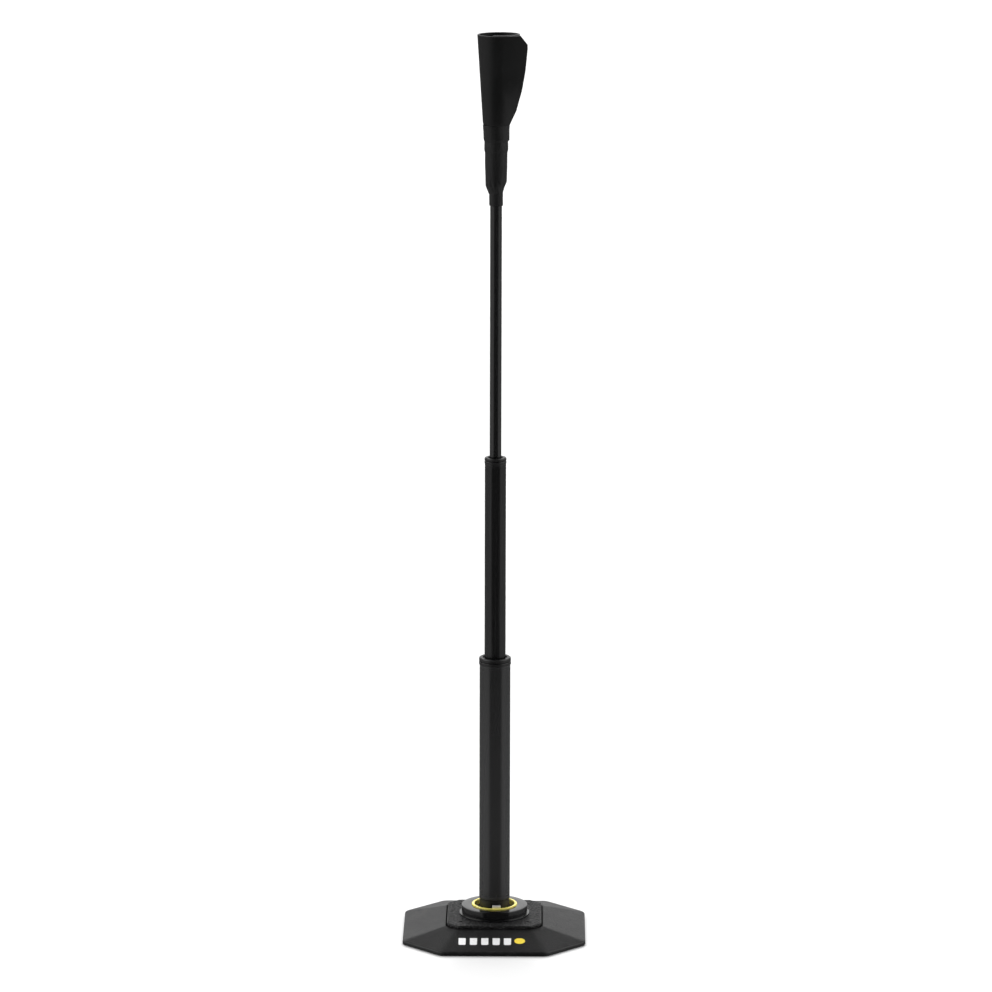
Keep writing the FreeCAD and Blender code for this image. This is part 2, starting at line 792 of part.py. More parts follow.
def cone_wall():
    """The rolled wall as a thin cone, leaning a little to the right from its foot."""
    wall = sheet_thickness.value
    swell_height = cone_waist.value + cone_swell_height.value
    outside = [
        (cone_foot_radius.value, cone_foot.value), (cone_waist_radius.value, cone_waist.value),
        (cone_radius(swell_height) + cone_swell.value, swell_height),
        (mouth_radius.value, mouth_height.value),
    ]
    outline = outside + [(radius - wall, height) for radius, height in reversed(outside)]
    corners_3d = [FreeCAD.Vector(radius, 0, height) for radius, height in outline]
    face = Part.Face(Part.makePolygon(corners_3d + corners_3d[:1]))
    solid = face.revolve(FreeCAD.Vector(0, 0, 0), FreeCAD.Vector(0, 0, 1), 360)
    solid = solid.cut(above_the_mouth())
    pivot = FreeCAD.Vector(0, 0, cone_foot.value)
    return solid.rotate(pivot, FreeCAD.Vector(0, 1, 0), cone_lean.value)


def fin_section(height, reach, depth):
    """Closed outline of the loose outer turn at one height.

    It leaves the cone's front at a tangent and ends at (reach, depth).
    """
    radius = cone_radius(height)
    middle = (height - cone_foot.value) * math.tan(math.radians(cone_lean.value))
    wall = sheet_thickness.value
    outward = FreeCAD.Vector(math.cos(fin_start_angle), math.sin(fin_start_angle), 0)
    start = FreeCAD.Vector(middle, 0, height) + outward * radius
    end = FreeCAD.Vector(reach, depth, height)
    chord = end - start
    side = FreeCAD.Vector(chord.y, -chord.x, 0).normalize()
    tangent = FreeCAD.Vector(-outward.y, outward.x, 0)
    bow = chord.Length * 0.5 * math.tan(chord.getAngle(tangent) * 0.5)
    bulge = start + chord * 0.5 + side * bow
    outer = Part.Arc(start, bulge, end).toShape()
    end_inner = end - side * wall
    start_inner = start - outward * (wall * fin_root_share)
    inner = Part.Arc(end_inner, bulge - side * wall, start_inner).toShape()
    tip = Part.makeLine(end, end_inner)
    root = Part.makeLine(start_inner, start)
    return Part.Wire([outer, tip, inner, root])


def build_cup_sheet():
    """The rubber sheet rolled into a cone; its outer end stands off on the right as a fin."""
    fin = Part.makeLoft([fin_section(*station) for station in fin_stations], True, True)
    rolled = doc.addObject("Part::Feature", "cup_sheet")
    rolled.Label = "cup_sheet"
    rolled.Shape = cone_wall().fuse(fin).removeSplitter()
    rolled.Placement = FreeCAD.Placement()
    sub_parts.append(rolled)


def build_shrink_sleeve():
    """Tight sleeve from the rod up over the core, the clamp and the foot of the cone."""
    wall = sleeve_wall
    tail = rod_radius + sleeve_gap * 2.0
    shoulder = core_radius + sleeve_gap
    bulge = clamp_radius + sleeve_gap
    flare = cone_foot_radius + sleeve_flare_gap
    wide = cone_waist_radius + sleeve_spread
    neck = core_foot - core_step
    clamp_low = clamp_foot - sleeve_flare_gap
    clamp_high = clamp_foot + clamp_height + sleeve_flare_gap
    step = clamp_low - clamp_fall
    turned("shrink_sleeve", [
        (tail, sleeve_foot), (tail + wall, sleeve_foot), (tail + wall, neck),
        (shoulder + sleeve_thinned, core_shoulder), (shoulder + wall, step),
        (bulge + wall, clamp_low), (bulge + wall, clamp_high),
        (flare + sleeve_thinned, cone_foot + core_step), (wide + sleeve_thinned, sleeve_top),
        (wide, sleeve_top), (flare, cone_foot - core_step), (bulge, clamp_high), (bulge, clamp_low),
        (shoulder, step), (shoulder, core_shoulder), (tail + core_lip, neck), (tail, neck - core_step),
    ])


build_cup_core()
build_core_clamp()
build_cup_sheet()
build_shrink_sleeve()

# ---------------------------------------------------------------- check and write

doc.recompute()
for thing in doc.Objects:
    if "Invalid" in thing.State or "Error" in thing.State:
        raise ValueError("%s did not compute" % thing.Name)
os.makedirs("parts", exist_ok=True)
for part in sub_parts:
    shape = part.Shape
    if shape.isNull() or not shape.isValid() or not shape.Solids:
        raise ValueError("%s has no valid solid" % part.Label)
for part in sub_parts:
    part.Shape.exportStep("parts/%s.step" % part.Label)
    print("%-18s %2d solid  %10.1f mm3" % (part.Label, len(part.Shape.Solids), part.Shape.Volume))
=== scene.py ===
import json
import math

import bmesh
import bpy
from mathutils import Matrix, Vector, noise


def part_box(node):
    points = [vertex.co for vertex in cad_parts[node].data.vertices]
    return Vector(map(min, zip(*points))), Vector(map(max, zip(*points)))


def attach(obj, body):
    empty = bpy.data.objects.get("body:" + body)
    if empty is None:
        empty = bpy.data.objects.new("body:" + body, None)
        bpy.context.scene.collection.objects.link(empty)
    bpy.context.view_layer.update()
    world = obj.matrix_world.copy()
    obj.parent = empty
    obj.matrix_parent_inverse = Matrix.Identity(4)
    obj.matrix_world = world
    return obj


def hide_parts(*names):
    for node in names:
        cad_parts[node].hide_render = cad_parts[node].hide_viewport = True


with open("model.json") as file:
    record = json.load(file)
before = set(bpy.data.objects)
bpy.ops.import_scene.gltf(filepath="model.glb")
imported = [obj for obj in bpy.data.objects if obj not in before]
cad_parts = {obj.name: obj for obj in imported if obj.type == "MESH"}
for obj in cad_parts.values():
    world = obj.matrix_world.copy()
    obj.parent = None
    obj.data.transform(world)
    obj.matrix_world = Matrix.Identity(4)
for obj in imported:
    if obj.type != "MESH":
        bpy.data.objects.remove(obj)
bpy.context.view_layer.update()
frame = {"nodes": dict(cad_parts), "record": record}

# A batting tee. Metres, +Z up, -Y is the front, the ground is z = 0.
# Outer sizes come from the frame's own boxes. Inner sizes that a box doesn't show are written
# out below, and so is the foot ring, which is narrower than the frame's.

MM = 0.001


# ------------------------------------------------------------------ sizes read from the frame

def low(node):
    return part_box(node)[0]


def high(node):
    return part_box(node)[1]


def reach(node):
    """Radius of a round node."""
    return (high(node).y - low(node).y) / 2


BASE_HALF = high("base_cover").x
BASE_LEG = 46.5 * MM
RIM_HEIGHT = 5.0 * MM
PLATEAU = high("base_cover").z
PLATE_HALF = high("socket_plate").x
PLATE_LEG = 13.5 * MM
PLATE_LOW = low("socket_plate").z
PLATE_TOP = high("socket_plate").z
PLATE_GAP = 1.4 * MM
PAD_TOP = high("base_pad").z
PAD_HALF = high("base_pad").x
WEIGHT_HALF = high("base_weight").x
WEIGHT_SHOULDER = 14.2 * MM
HOUSING_TOP = high("socket_housing").z
CONE_FOOT = low("cup_sheet").z
MOUTH = high("cup_sheet").z
SLEEVE_TOP = high("shrink_sleeve").z
FOOT_RING = 42.3 * MM        # 1.7 mm inside the frame's foot ring
SHARP = 35.0                 # degrees between faces above which an edge stays sharp
CORNER_STEPS = 5


# ------------------------------------------------------------------ finishes

class Level:
    """A socket's value. Arithmetic on it adds the maths nodes."""

    def __init__(self, finish, socket):
        self.finish = finish
        self.socket = socket

    def maths(self, operation, first, second=0.0):
        made = self.finish.node("ShaderNodeMath", {"operation": operation}, {0: first, 1: second})
        return Level(self.finish, made.outputs[0])

    def __add__(self, other):
        return self.maths("ADD", self, other)

    def __radd__(self, other):
        return self.maths("ADD", other, self)

    def __sub__(self, other):
        return self.maths("SUBTRACT", self, other)

    def __rsub__(self, other):
        return self.maths("SUBTRACT", other, self)

    def __mul__(self, other):
        return self.maths("MULTIPLY", self, other)

    def __rmul__(self, other):
        return self.maths("MULTIPLY", other, self)

    def above(self, start, end):
        """0 below start, 1 past end, smooth between."""
        made = self.finish.node(
            "ShaderNodeMapRange", {"interpolation_type": "SMOOTHSTEP"},
            {"Value": self, "From Min": start, "From Max": end})
        return Level(self.finish, made.outputs["Result"])


class Finish:
    """One material and the nodes that make it."""

    def __init__(self, name):
        self.material = bpy.data.materials.new(name)
        self.material.use_nodes = True
        self.tree = self.material.node_tree
        self.tree.nodes.clear()
        self.place = Level(self, self.node("ShaderNodeTexCoord").outputs["Object"])

    def node(self, kind, settings=None, inputs=None):
        made = self.tree.nodes.new(kind)
        for name, value in (settings or {}).items():
            setattr(made, name, value)
        for name, value in (inputs or {}).items():
            if isinstance(value, Level):
                self.tree.links.new(value.socket, made.inputs[name])
            else:
                made.inputs[name].default_value = value
        return made

    def stretched(self, scale):
        """Object coordinates scaled along each axis."""
        made = self.node("ShaderNodeMapping", None, {"Vector": self.place, "Scale": scale})
        return Level(self, made.outputs["Vector"])

    def noise(self, scale, detail=2.0, roughness=0.5, stretch=None):
        place = self.place if stretch is None else self.stretched(stretch)
        made = self.node("ShaderNodeTexNoise", None, {
            "Vector": place, "Scale": scale, "Detail": detail, "Roughness": roughness})
        return Level(self, made.outputs["Fac"])

    def pebbles(self, scale, feature="F1"):
        made = self.node(
            "ShaderNodeTexVoronoi", {"feature": feature}, {"Vector": self.place, "Scale": scale})
        return Level(self, made.outputs["Distance"])

    def along(self, axis):
        """The object's own x, y or z."""
        made = self.node("ShaderNodeSeparateXYZ", None, {"Vector": self.place})
        return Level(self, made.outputs[axis])

    def mix(self, mask, first, second):
        made = self.node("ShaderNodeMix", {"data_type": "RGBA"}, {"Factor": mask})
        for socket, colour in zip((made.inputs[6], made.inputs[7]), (first, second)):
            if isinstance(colour, Level):
                self.tree.links.new(colour.socket, socket)
            else:
                socket.default_value = (*colour, 1.0)
        return Level(self, made.outputs[2])

    def surface(self, colour, roughness, height=None, depth=0.0, **uniform):
        """Finishes the material: height is a bump of the given depth in metres."""
        paint = colour if isinstance(colour, Level) else (*colour, 1.0)
        inputs = {"Base Color": paint, "Roughness": roughness}
        if height is not None:
            bump = self.node("ShaderNodeBump", None, {
                "Height": height, "Distance": depth, "Strength": 1.0})
            inputs["Normal"] = Level(self, bump.outputs["Normal"])
        inputs.update({name.replace("_", " "): value for name, value in uniform.items()})
        shader = self.node("ShaderNodeBsdfPrincipled", None, inputs)
        output = self.node("ShaderNodeOutputMaterial")
        self.tree.links.new(shader.outputs["BSDF"], output.inputs["Surface"])
        return self.material


def grey(level):
    return (level, level, level * 1.02)


def cover_rubber():
    finish = Finish("cover_rubber")
    grain = finish.noise(520.0, 3.0)
    cloud = finish.noise(28.0, 4.0, 0.6)
    # Pale specks of dust.
    pale_share = finish.noise(260.0, 3.0, 0.7).above(0.50, 0.72)
    colour = finish.mix(cloud, grey(0.0035), grey(0.006))
    colour = finish.mix(pale_share * 0.5, colour, grey(0.022))
    edge = 1.0 - finish.along("Z").above(0.0005, 0.006)
    colour = finish.mix(edge * 0.5, colour, grey(0.006))
    return finish.surface(colour, 0.40 + cloud * 0.12 + pale_share * 0.1, grain, 0.0004)


def pad_rubber():
    finish = Finish("pad_rubber")
    grain = finish.noise(500.0, 2.0)
    cloud = finish.noise(30.0)
    colour = finish.mix(cloud, grey(0.02), grey(0.035))
    return finish.surface(colour, 0.75 + grain * 0.1, grain, 0.0003)


def plate_plastic():
    """Pebbled plastic: rounded grains, shinier on their tops, with a painted highlight on each."""
    finish = Finish("plate_plastic")
    grains = finish.pebbles(430.0, "SMOOTH_F1")
    fine = finish.noise(1800.0)
    cloud = finish.noise(40.0, 3.0)
    colour = finish.mix(cloud, grey(0.004), grey(0.007))
    # Painted highlight: each grain's top is painted lighter, for the sparkle of light on it.
    colour = finish.mix(grains.above(0.08, 0.5), grey(0.040), colour)
    height = finish.along("Z")
    edge = height.above(PLATE_TOP - 1.3 * MM, PLATE_TOP - 0.8 * MM)
    edge = edge * (1.0 - height.above(PLATE_TOP - 0.3 * MM, PLATE_TOP - 0.1 * MM))
    relief = ((1.0 - grains) + fine * 0.15) * (1.0 - edge * 0.8)
    return finish.surface(
        colour, 0.46 + grains * 0.22 - edge * 0.22, relief, 0.0015, Specular_IOR_Level=0.36)


def housing_plastic():
    finish = Finish("housing_plastic")
    cloud = finish.noise(60.0, 3.0)
    rub = finish.noise(220.0, 2.0, 0.7, (1.0, 1.0, 0.15)).above(0.58, 0.75)
    colour = finish.mix(cloud, grey(0.005), grey(0.008))
    return finish.surface(
        finish.mix(rub * 0.2, colour, grey(0.02)), 0.10 + cloud * 0.06 + rub * 0.06,
        finish.noise(700.0, 2.0), 0.00002)


def ring_yellow():
    finish = Finish("ring_yellow")
    cloud = finish.noise(90.0, 3.0)
    colour = finish.mix(cloud, (0.90, 0.77, 0.15), (0.94, 0.84, 0.20))
    return finish.surface(
        colour, 0.18 + cloud * 0.08, finish.noise(900.0), 0.00001,
        Subsurface_Weight=0.08, Subsurface_Radius=(0.002, 0.0015, 0.0005))


def bright_steel(name, level, roughness, stretch, metal=1.0):
    finish = Finish(name)
    brushed = finish.noise(500.0, 3.0, 0.6, stretch)
    cloud = finish.noise(120.0, 2.0)
    dull = (level, level * 0.98, level * 0.95)
    bright = (level * 1.15, level * 1.12, level * 1.07)
    colour = finish.mix(cloud, dull, bright)
    return finish.surface(colour, roughness + brushed * 0.15, brushed, 0.00002, Metallic=metal)


def moulded(name, level, roughness):
    """Plain moulded plastic with a fine spark texture."""
    finish = Finish(name)
    spark = finish.noise(1100.0, 2.0)
    cloud = finish.noise(70.0, 3.0)
    colour = finish.mix(cloud, grey(level * 0.85), grey(level * 1.2))
    return finish.surface(colour, roughness + cloud * 0.12, spark, 0.00006)


def tube_paint(name, low_z, high_z, wear, pale_share, shine):
    """Satin black powder coat: orange peel, faint streaks where a bush slides, dulled ends."""
    finish = Finish(name)
    peel = finish.noise(1300.0, 2.0)
    cloud = finish.noise(22.0, 3.0, 0.6, (1.0, 1.0, 0.3))
    streaks = finish.noise(420.0, 3.0, 0.65, (1.0, 1.0, 0.02)).above(0.52, 0.74)
    height = finish.along("Z")
    ends = 1.0 - (height.above(low_z, low_z + 0.012) * (1.0 - height.above(high_z - 0.006, high_z)))
    colour = finish.mix(cloud, grey(0.004), grey(0.007))
    colour = finish.mix(streaks * wear, colour, grey(0.018))
    colour = finish.mix(ends * 0.25, colour, grey(0.016))
    # Painted light: the paint turns paler towards the bottom, by the given share, for the brighter
    # light low on the stem.
    colour = finish.mix((1.0 - height.above(0.0, 0.6)) * pale_share, colour, grey(0.035))
    return finish.surface(
        colour, 0.18 + cloud * 0.06 + streaks * (wear * 0.25) + ends * 0.08, peel, 0.00003,
        Specular_IOR_Level=shine)


def cup_rubber():
    """Matte sheet rubber: calender lines round the roll, bloom and a few scuffs."""
    finish = Finish("cup_rubber")
    lines = finish.noise(700.0, 2.0, 0.5, (0.12, 0.12, 1.0))
    grain = finish.noise(1500.0)
    bloom = finish.noise(30.0, 4.0, 0.6)
    scuff = finish.noise(140.0, 4.0, 0.7, (1.0, 1.0, 0.35)).above(0.60, 0.74)
    colour = finish.mix(bloom, grey(0.004), grey(0.007))
    colour = finish.mix(scuff * 0.4, colour, grey(0.014))
    # Painted highlight: a pale band just under the mouth stands in for light on the rim's edge.
    colour = finish.mix(finish.along("Z").above(MOUTH - 0.0016, MOUTH - 0.0011), colour, grey(0.05))
    return finish.surface(
        colour, 0.42 + bloom * 0.12 + scuff * 0.1, lines * 0.6 + grain * 0.4, 0.00008,
        Specular_IOR_Level=0.3)


def sleeve_plastic():
    finish = Finish("sleeve_plastic")
    pull = finish.noise(260.0, 3.0, 0.6, (1.0, 1.0, 0.12))
    cloud = finish.noise(50.0, 3.0)
    colour = finish.mix(cloud, grey(0.006), grey(0.011))
    fine = finish.noise(520.0, 3.0)
    return finish.surface(
        colour, 0.32 + cloud * 0.14, pull + fine * 0.5, 0.0006, Specular_IOR_Level=0.38)


def print_ink(name, colour):
    finish = Finish(name)
    specks = finish.noise(900.0, 2.0).above(0.30, 0.45)
    worn = finish.mix(specks, tuple(part * 0.82 for part in colour), colour)
    return finish.surface(worn, 0.45 + specks * 0.08, finish.noise(900.0, 3.0), 0.00008)


FINISHES = {
    "cover_rubber": cover_rubber(),
    "weight_iron": moulded("weight_iron", 0.05, 0.6),
    "pad_rubber": pad_rubber(),
    "screw_steel": bright_steel("screw_steel", 0.55, 0.28, (1.0, 1.0, 0.1)),
    "plate_plastic": plate_plastic(),
    "housing_plastic": housing_plastic(),
    "ring_yellow": ring_yellow(),
    "key_steel": bright_steel("key_steel", 0.84, 0.40, (0.1, 1.0, 1.0), 0.35),
    "foot_nylon": moulded("foot_nylon", 0.005, 0.46),
    "grip_rubber": moulded("grip_rubber", 0.008, 0.55),
    "rivet_aluminium": bright_steel("rivet_aluminium", 0.7, 0.3, (1.0, 1.0, 1.0)),
    "bush_plastic": moulded("bush_plastic", 0.009, 0.30),
    "glide_acetal": moulded("glide_acetal", 0.55, 0.4),
    "clip_steel": bright_steel("clip_steel", 0.35, 0.3, (1.0, 1.0, 0.1)),
    "core_rubber": moulded("core_rubber", 0.02, 0.6),
    "clamp_steel": bright_steel("clamp_steel", 0.5, 0.25, (0.1, 0.1, 1.0)),
    "cup_rubber": cup_rubber(),
    "sleeve_plastic": sleeve_plastic(),
}
PAINTED = {
    "lower_tube": tube_paint(
        "lower_paint", low("lower_tube").z, high("lower_tube").z, 0.15, 0.7, 0.65),
    "mid_tube": tube_paint("mid_paint", low("mid_tube").z, high("mid_tube").z, 0.45, 0.1, 0.5),
    "rod": tube_paint("rod_paint", low("rod").z, high("rod").z, 0.5, 0.1, 0.85),
}
SLOT_OF = {part["node"]: part["material_slot"] for part in frame["record"]["subparts"]}
BODY_OF = {
    node: body for body, nodes in frame["record"]["behaviour"]["bodies"].items() for node in nodes
}


# ------------------------------------------------------------------ shaping

def finish_piece(bm, name, node, material=None, sharp=SHARP):
    """Turns a bmesh into a piece that rides with a node's body and takes its finish."""
    bmesh.ops.remove_doubles(bm, verts=bm.verts, dist=1e-7)
    bmesh.ops.recalc_face_normals(bm, faces=bm.faces)
    for face in bm.faces:
        face.smooth = True
    for edge in bm.edges:
        edge.smooth = edge.calc_face_angle(0.0) < math.radians(sharp)
    mesh = bpy.data.meshes.new(name)
    bm.to_mesh(mesh)
    bm.free()
    piece = bpy.data.objects.new(name, mesh)
    bpy.context.scene.collection.objects.link(piece)
    slot = SLOT_OF[node]
    mesh.materials.append(material or PAINTED.get(node) or FINISHES[slot])
    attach(piece, BODY_OF[node])
    return piece


def softened(outline):
    """Rounds an outline's corners: each point is (radius, height, corner) in metres."""
    points = []
    count = len(outline)
    for index, (radius, height, corner) in enumerate(outline):
        here = Vector((radius, 0, height))
        if corner == 0:
            points.append(here)
            continue
        before = Vector((outline[index - 1][0], 0, outline[index - 1][1])) - here
        after = Vector((outline[(index + 1) % count][0], 0, outline[(index + 1) % count][1])) - here
        half_turn = before.angle(after) / 2
        cut = min(corner / math.tan(half_turn), before.length * 0.49, after.length * 0.49)
        start = here + before.normalized() * cut
        end = here + after.normalized() * cut
        for step in range(CORNER_STEPS + 1):
            share = step / CORNER_STEPS
            points.append(start.lerp(here, share).lerp(here.lerp(end, share), share))
    return points


def turn(outline, steps=96):
    """A bmesh turned about the Z axis from a closed outline."""
    bm = bmesh.new()
    corners = [bm.verts.new(point) for point in softened(outline)]
    edges = [bm.edges.new((corners[index - 1], corners[index])) for index in range(len(corners))]
    bmesh.ops.spin(
        bm, geom=corners + edges, cent=(0, 0, 0), axis=(0, 0, 1), dvec=(0, 0, 0),
        angle=2 * math.pi, steps=steps, use_merge=True)
    return bm


def turned_piece(name, node, outline, steps=96):
    piece = finish_piece(turn(outline, steps), name, node)
    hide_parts(node)
    return piece


def octagon_loop(bm, half, leg, height, corner, segments=6):
    """A ring of edges: a square with cut corners, its points rounded to the given radius."""
    inner = half - leg
    places = [
        (inner, -half), (half, -inner), (half, inner), (inner, half),
        (-inner, half), (-half, inner), (-half, -inner), (-inner, -half),
    ]
    points = [bm.verts.new((x, y, height)) for x, y in places]
    bm.faces.new(points)
    bmesh.ops.bevel(
        bm, geom=points, affect="VERTICES", offset=corner * math.tan(math.radians(22.5)),
        segments=segments, profile=0.5, material=-1)
    edges = list(bm.faces[:][-1].edges)
    bmesh.ops.delete(bm, geom=bm.faces[:], context="FACES_ONLY")
    return edges


def stacked(rings):
    """A closed skin through a list of octagon rings (half, leg, height, corner)."""
    bm = bmesh.new()
    loops = [octagon_loop(bm, *ring) for ring in rings]
    for index in range(len(loops)):
        bmesh.ops.bridge_loops(bm, edges=loops[index - 1] + loops[index])
    return bm


def grown(half, leg, gap):
    """An octagon's half width and leg after moving every side out by gap."""
    return half + gap, leg + gap * (2 - math.sqrt(2))


def cut_away(piece, cutter):
    """Cuts a bmesh out of a piece, for good."""
    mesh = bpy.data.meshes.new("cutter")
    cutter.to_mesh(mesh)
    cutter.free()
    tool = bpy.data.objects.new("cutter", mesh)
    bpy.context.scene.collection.objects.link(tool)
    modifier = piece.modifiers.new("cut", "BOOLEAN")
    modifier.object = tool
    modifier.solver = "EXACT"
    scene_graph = bpy.context.evaluated_depsgraph_get()
    made = bpy.data.meshes.new_from_object(piece.evaluated_get(scene_graph))
    piece.modifiers.clear()
    old = piece.data
    piece.data = made
    made.name = piece.name
    bpy.data.meshes.remove(old)
    bpy.data.objects.remove(tool)
    bpy.data.meshes.remove(mesh)
    shade(piece.data)


def shade(mesh):
    """Smooth faces, with the sharp edges kept."""
    bm = bmesh.new()
    bm.from_mesh(mesh)
    for face in bm.faces:
        face.smooth = True
    for edge in bm.edges:
        edge.smooth = edge.calc_face_angle(0.0) < math.radians(SHARP)
    bm.to_mesh(mesh)
    bm.free()


def keep_flats_flat(piece):
    """Large flat faces keep their own shading next to narrow rounded ones."""
    modifier = piece.modifiers.new("flats", "WEIGHTED_NORMAL")
    modifier.keep_sharp = True


# ------------------------------------------------------------------ base

def make_base_cover():
    """Rubber cover: rounded rim, eight facets with soft creases, a land round the plate."""
    rim_round = 2.2 * MM
    slope = math.atan2(PLATEAU - RIM_HEIGHT, BASE_HALF - PLATE_HALF - PLATE_GAP)
    opening = grown(PLATE_HALF, PLATE_LEG, PLATE_GAP)
    rim_corner = 11 * MM
    rings = [
        (*grown(BASE_HALF, BASE_LEG, -0.7 * MM), 0.0, rim_corner),
        (BASE_HALF, BASE_LEG, 0.7 * MM, rim_corner),
    ]
    facet_start = math.pi / 2 - slope
    drop = rim_round * (1 - math.cos(facet_start))
    centre = RIM_HEIGHT + drop * math.tan(slope) - rim_round * math.sin(facet_start)
    for step in range(6):
        angle = facet_start * step / 5
        rings.append((
            *grown(BASE_HALF, BASE_LEG, -rim_round * (1 - math.cos(angle))),
            centre + rim_round * math.sin(angle), rim_corner))
    foot_half, foot_leg, foot_height, _ = rings[-1]
    land_half, land_leg = grown(*opening, 1.0 * MM)
    for share, corner in ((0.12, 10), (0.3, 9), (0.5, 8), (0.7, 6.5), (0.88, 5), (0.985, 4)):
        rings.append((
            foot_half + (land_half - foot_half) * share, foot_leg + (land_leg - foot_leg) * share,
            foot_height + (PLATEAU - foot_height) * share, corner * MM))
    # Known fault: the first two of these rings share a height, and the band between them is
    # joined across the opening instead of round it.
    for inset, lift in ((0.55, 0.0), (0.25, 0.0), (0.06, -0.15), (0.0, -0.5)):
        rings.append((*grown(*opening, inset * MM), PLATEAU + lift * MM, 3 * MM))
    shoulder = grown(*opening, 1.0 * MM)
    rings += [
        (*opening, WEIGHT_SHOULDER, 2 * MM),
        (*shoulder, WEIGHT_SHOULDER, 2 * MM),
        (*grown(BASE_HALF, BASE_LEG, WEIGHT_HALF - BASE_HALF), PAD_TOP, 2 * MM),
        (*grown(BASE_HALF, BASE_LEG, PAD_HALF - BASE_HALF), PAD_TOP, 2 * MM),
        (*grown(BASE_HALF, BASE_LEG, PAD_HALF - BASE_HALF), 0.0, 2 * MM),
    ]
    cover = finish_piece(stacked(rings), "cover", "base_cover", sharp=50.0)
    keep_flats_flat(cover)
    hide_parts("base_cover")


def make_base_pad():
    """Anti-slip pad with a tread of square grooves and the four sunk holes for its screws."""
    bm = bmesh.new()
    half, leg = grown(BASE_HALF, BASE_LEG, PAD_HALF - BASE_HALF)
    octagon_loop(bm, half, leg, PAD_TOP, 2 * MM)
    bmesh.ops.contextual_create(bm, geom=bm.edges[:])
    grown_down = bmesh.ops.extrude_face_region(bm, geom=list(bm.faces))
    lower = [part for part in grown_down["geom"] if isinstance(part, bmesh.types.BMVert)]
    bmesh.ops.translate(bm, verts=lower, vec=(0, 0, -PAD_TOP))
    pad = finish_piece(bm, "pad", "base_pad")
    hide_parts("base_pad")
    head_low = low("pad_screws").z
    circle = high("pad_screws").x - 5 * MM
    cutters = bmesh.new()
    for x, y in ((circle, 0), (0, circle), (-circle, 0), (0, -circle)):
        hole = Matrix.Translation((x, y, head_low + 0.8 * MM))
        bmesh.ops.create_cone(
            cutters, cap_ends=True, segments=32, radius1=5.3 * MM, radius2=5.3 * MM,
            depth=3.4 * MM, matrix=hole)
    groove = 1.2 * MM
    pitch = 14 * MM
    for index in range(-6, 7):
        if index == 0:
            continue
        strip = Matrix.Translation((index * pitch, 0, 0))
        strip = strip @ Matrix.Diagonal((groove, 2 * half, groove, 1))
        bmesh.ops.create_cube(cutters, size=1.0, matrix=strip)
    cut_away(pad, cutters)


def make_socket_plate():
    """Plate with a rounded edge, four sunk screw holes and the bore for the socket's well."""
    rings = [
        (PLATE_HALF - 0.3 * MM, PLATE_LEG, PLATE_LOW, 2 * MM),
        (PLATE_HALF, PLATE_LEG, PLATE_LOW + 0.3 * MM, 2 * MM),
    ]
    edge_round = 1.3 * MM
    for step in range(6):
        angle = math.pi / 2 * step / 5
        rings.append((
            *grown(PLATE_HALF, PLATE_LEG, -edge_round * (1 - math.cos(angle))),
            PLATE_TOP - edge_round * (1 - math.sin(angle)), 2.5 * MM))
    bm = bmesh.new()
    loops = [octagon_loop(bm, *ring) for ring in rings]
    for lower, upper in zip(loops, loops[1:]):
        bmesh.ops.bridge_loops(bm, edges=lower + upper)
    bmesh.ops.contextual_create(bm, geom=loops[0])
    bmesh.ops.contextual_create(bm, geom=loops[-1])
    plate = finish_piece(bm, "plate", "socket_plate")
    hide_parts("socket_plate")
    across = high("plate_screws").x - 3 * MM
    along = high("plate_screws").y - 3 * MM
    sink = 3.4 * MM
    well = 21.1 * MM
    cutters = bmesh.new()
    bmesh.ops.create_cone(
        cutters, cap_ends=True, segments=96, radius1=well, radius2=well, depth=20 * MM,
        matrix=Matrix.Translation((0, 0, PLATE_TOP)))
    for x in (-across, across):
        for y in (-along, along):
            shank = Matrix.Translation((x, y, PLATE_TOP))
            bmesh.ops.create_cone(
                cutters, cap_ends=True, segments=32, radius1=2 * MM, radius2=2 * MM,
                depth=20 * MM, matrix=shank)
            sunk = Matrix.Translation((x, y, PLATE_TOP))
            bmesh.ops.create_cone(
                cutters, cap_ends=True, segments=48, radius1=sink, radius2=sink, depth=6.4 * MM,
                matrix=sunk)
            lip = Matrix.Translation((x, y, PLATE_TOP - 0.25 * MM))
            bmesh.ops.create_cone(
                cutters, cap_ends=True, segments=48, radius1=sink - 0.2 * MM,
                radius2=sink + 0.6 * MM, depth=0.8 * MM, matrix=lip)
    cut_away(plate, cutters)
    keep_flats_flat(plate)


def make_socket():
    """The round housing and the yellow ring let into its top."""
    ring_outer = reach("socket_ring")
    ring_seat = low("socket_ring").z
    ring_inner = 24 * MM
    guide = 18.06 * MM
    nose = 15.56 * MM
    wall = 39.9 * MM
    step = PLATE_TOP + 1.6 * MM
    bottom = low("socket_housing").z
    turned_piece("housing", "socket_housing", [
        (0, bottom, 0), (21 * MM, bottom, 0.5 * MM), (21 * MM, PLATE_TOP, 0),
        (FOOT_RING, PLATE_TOP, 0), (FOOT_RING, step, 0.4 * MM), (wall, step, 0.2 * MM),
        (wall, HOUSING_TOP, 0.9 * MM), (ring_outer + 0.1 * MM, HOUSING_TOP, 0.25 * MM),
        (ring_outer + 0.1 * MM, ring_seat, 0), (ring_inner, ring_seat, 0),
        (ring_inner, 27 * MM, 0.6 * MM),
        (guide, 27 * MM, 0.5 * MM), (guide, 20 * MM, 0), (nose, 20 * MM, 0.5 * MM),
        (nose, bottom + 2 * MM, 0), (0, bottom + 2 * MM, 0),
    ], 160)
    top = high("socket_ring").z
    turned_piece("accent_ring", "socket_ring", [
        (ring_inner, ring_seat, 0), (ring_outer, ring_seat, 0),
        (ring_outer, top, 1.5 * MM), (ring_inner, top, 1.5 * MM),
    ], 160)


PRINT_DEPTH = 0.1 * MM


